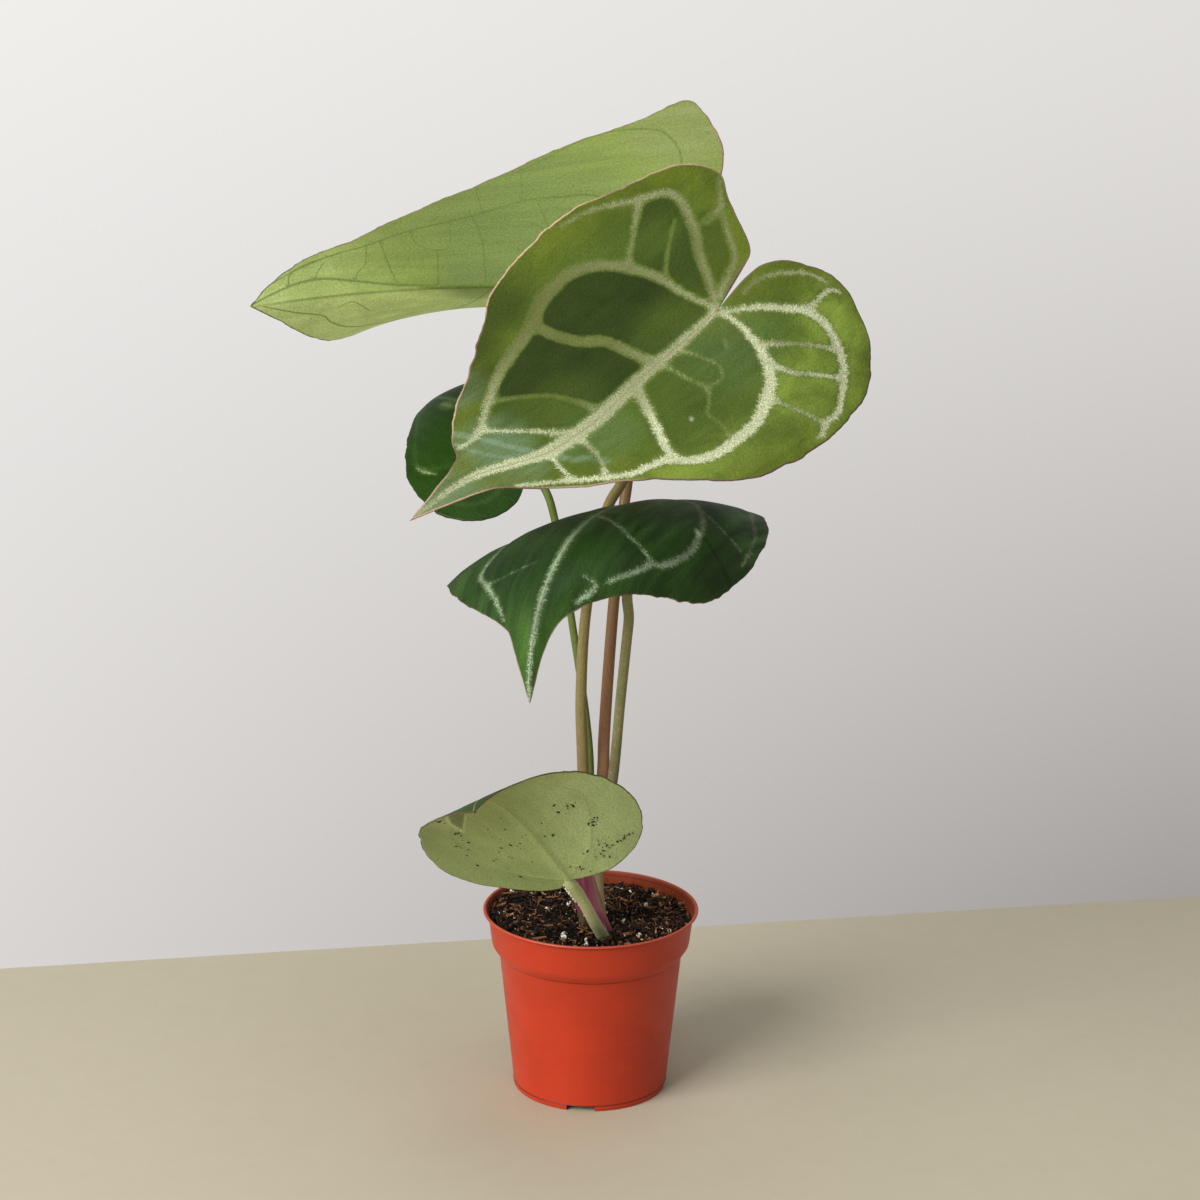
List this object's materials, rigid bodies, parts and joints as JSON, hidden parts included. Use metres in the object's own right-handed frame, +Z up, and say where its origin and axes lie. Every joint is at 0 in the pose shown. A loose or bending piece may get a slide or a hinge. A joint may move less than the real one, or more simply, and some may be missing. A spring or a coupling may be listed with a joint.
{
  "type": "potted velvet-leaved aroid house plant",
  "caption": "Potted aroid house plant: large heart-shaped leaves with pale veins on tall slim petioles, in a round plastic nursery pot.",
  "frame": {"origin": "centre of the pot's underside, on the surface that it stands on", "axes": "+Z up along the pot's axis, the large front leaf faces -Y, +X to the viewer's right"},
  "size_m": [0.3185, 0.3413, 0.5422],
  "materials": {
    "pot": "satin moulded terracotta-orange plastic",
    "potting_mix": "loose damp bark and peat with white perlite",
    "rhizome": "rough brown stem tissue",
    "sheath": "thin purple leaf scale with fine lengthwise veins",
    "petiole_olive": "smooth olive stem with fine lengthwise streaks",
    "petiole_brown": "smooth pink-brown stem with fine lengthwise streaks",
    "petiole_green": "smooth pale green stem",
    "blade_green": "velvety olive green with broad whitish veins and a thin pink edge",
    "blade_dark": "satin dark green with pale grey-green veins",
    "blade_pale": "matte pale green underside with thin darker veins"
  },
  "bodies": {
    "root": {"pot": "pot", "potting_mix": "potting_mix", "rhizome": "rhizome", "sheath": "sheath", "petiole_front": "petiole_olive", "petiole_back": "petiole_brown", "petiole_middle": "petiole_olive", "petiole_small": "petiole_green", "petiole_low": "petiole_green", "blade_front": "blade_green", "blade_back": "blade_pale", "blade_middle": "blade_dark", "blade_small": "blade_dark", "blade_low": "blade_pale"}
  },
  "joints": []
}
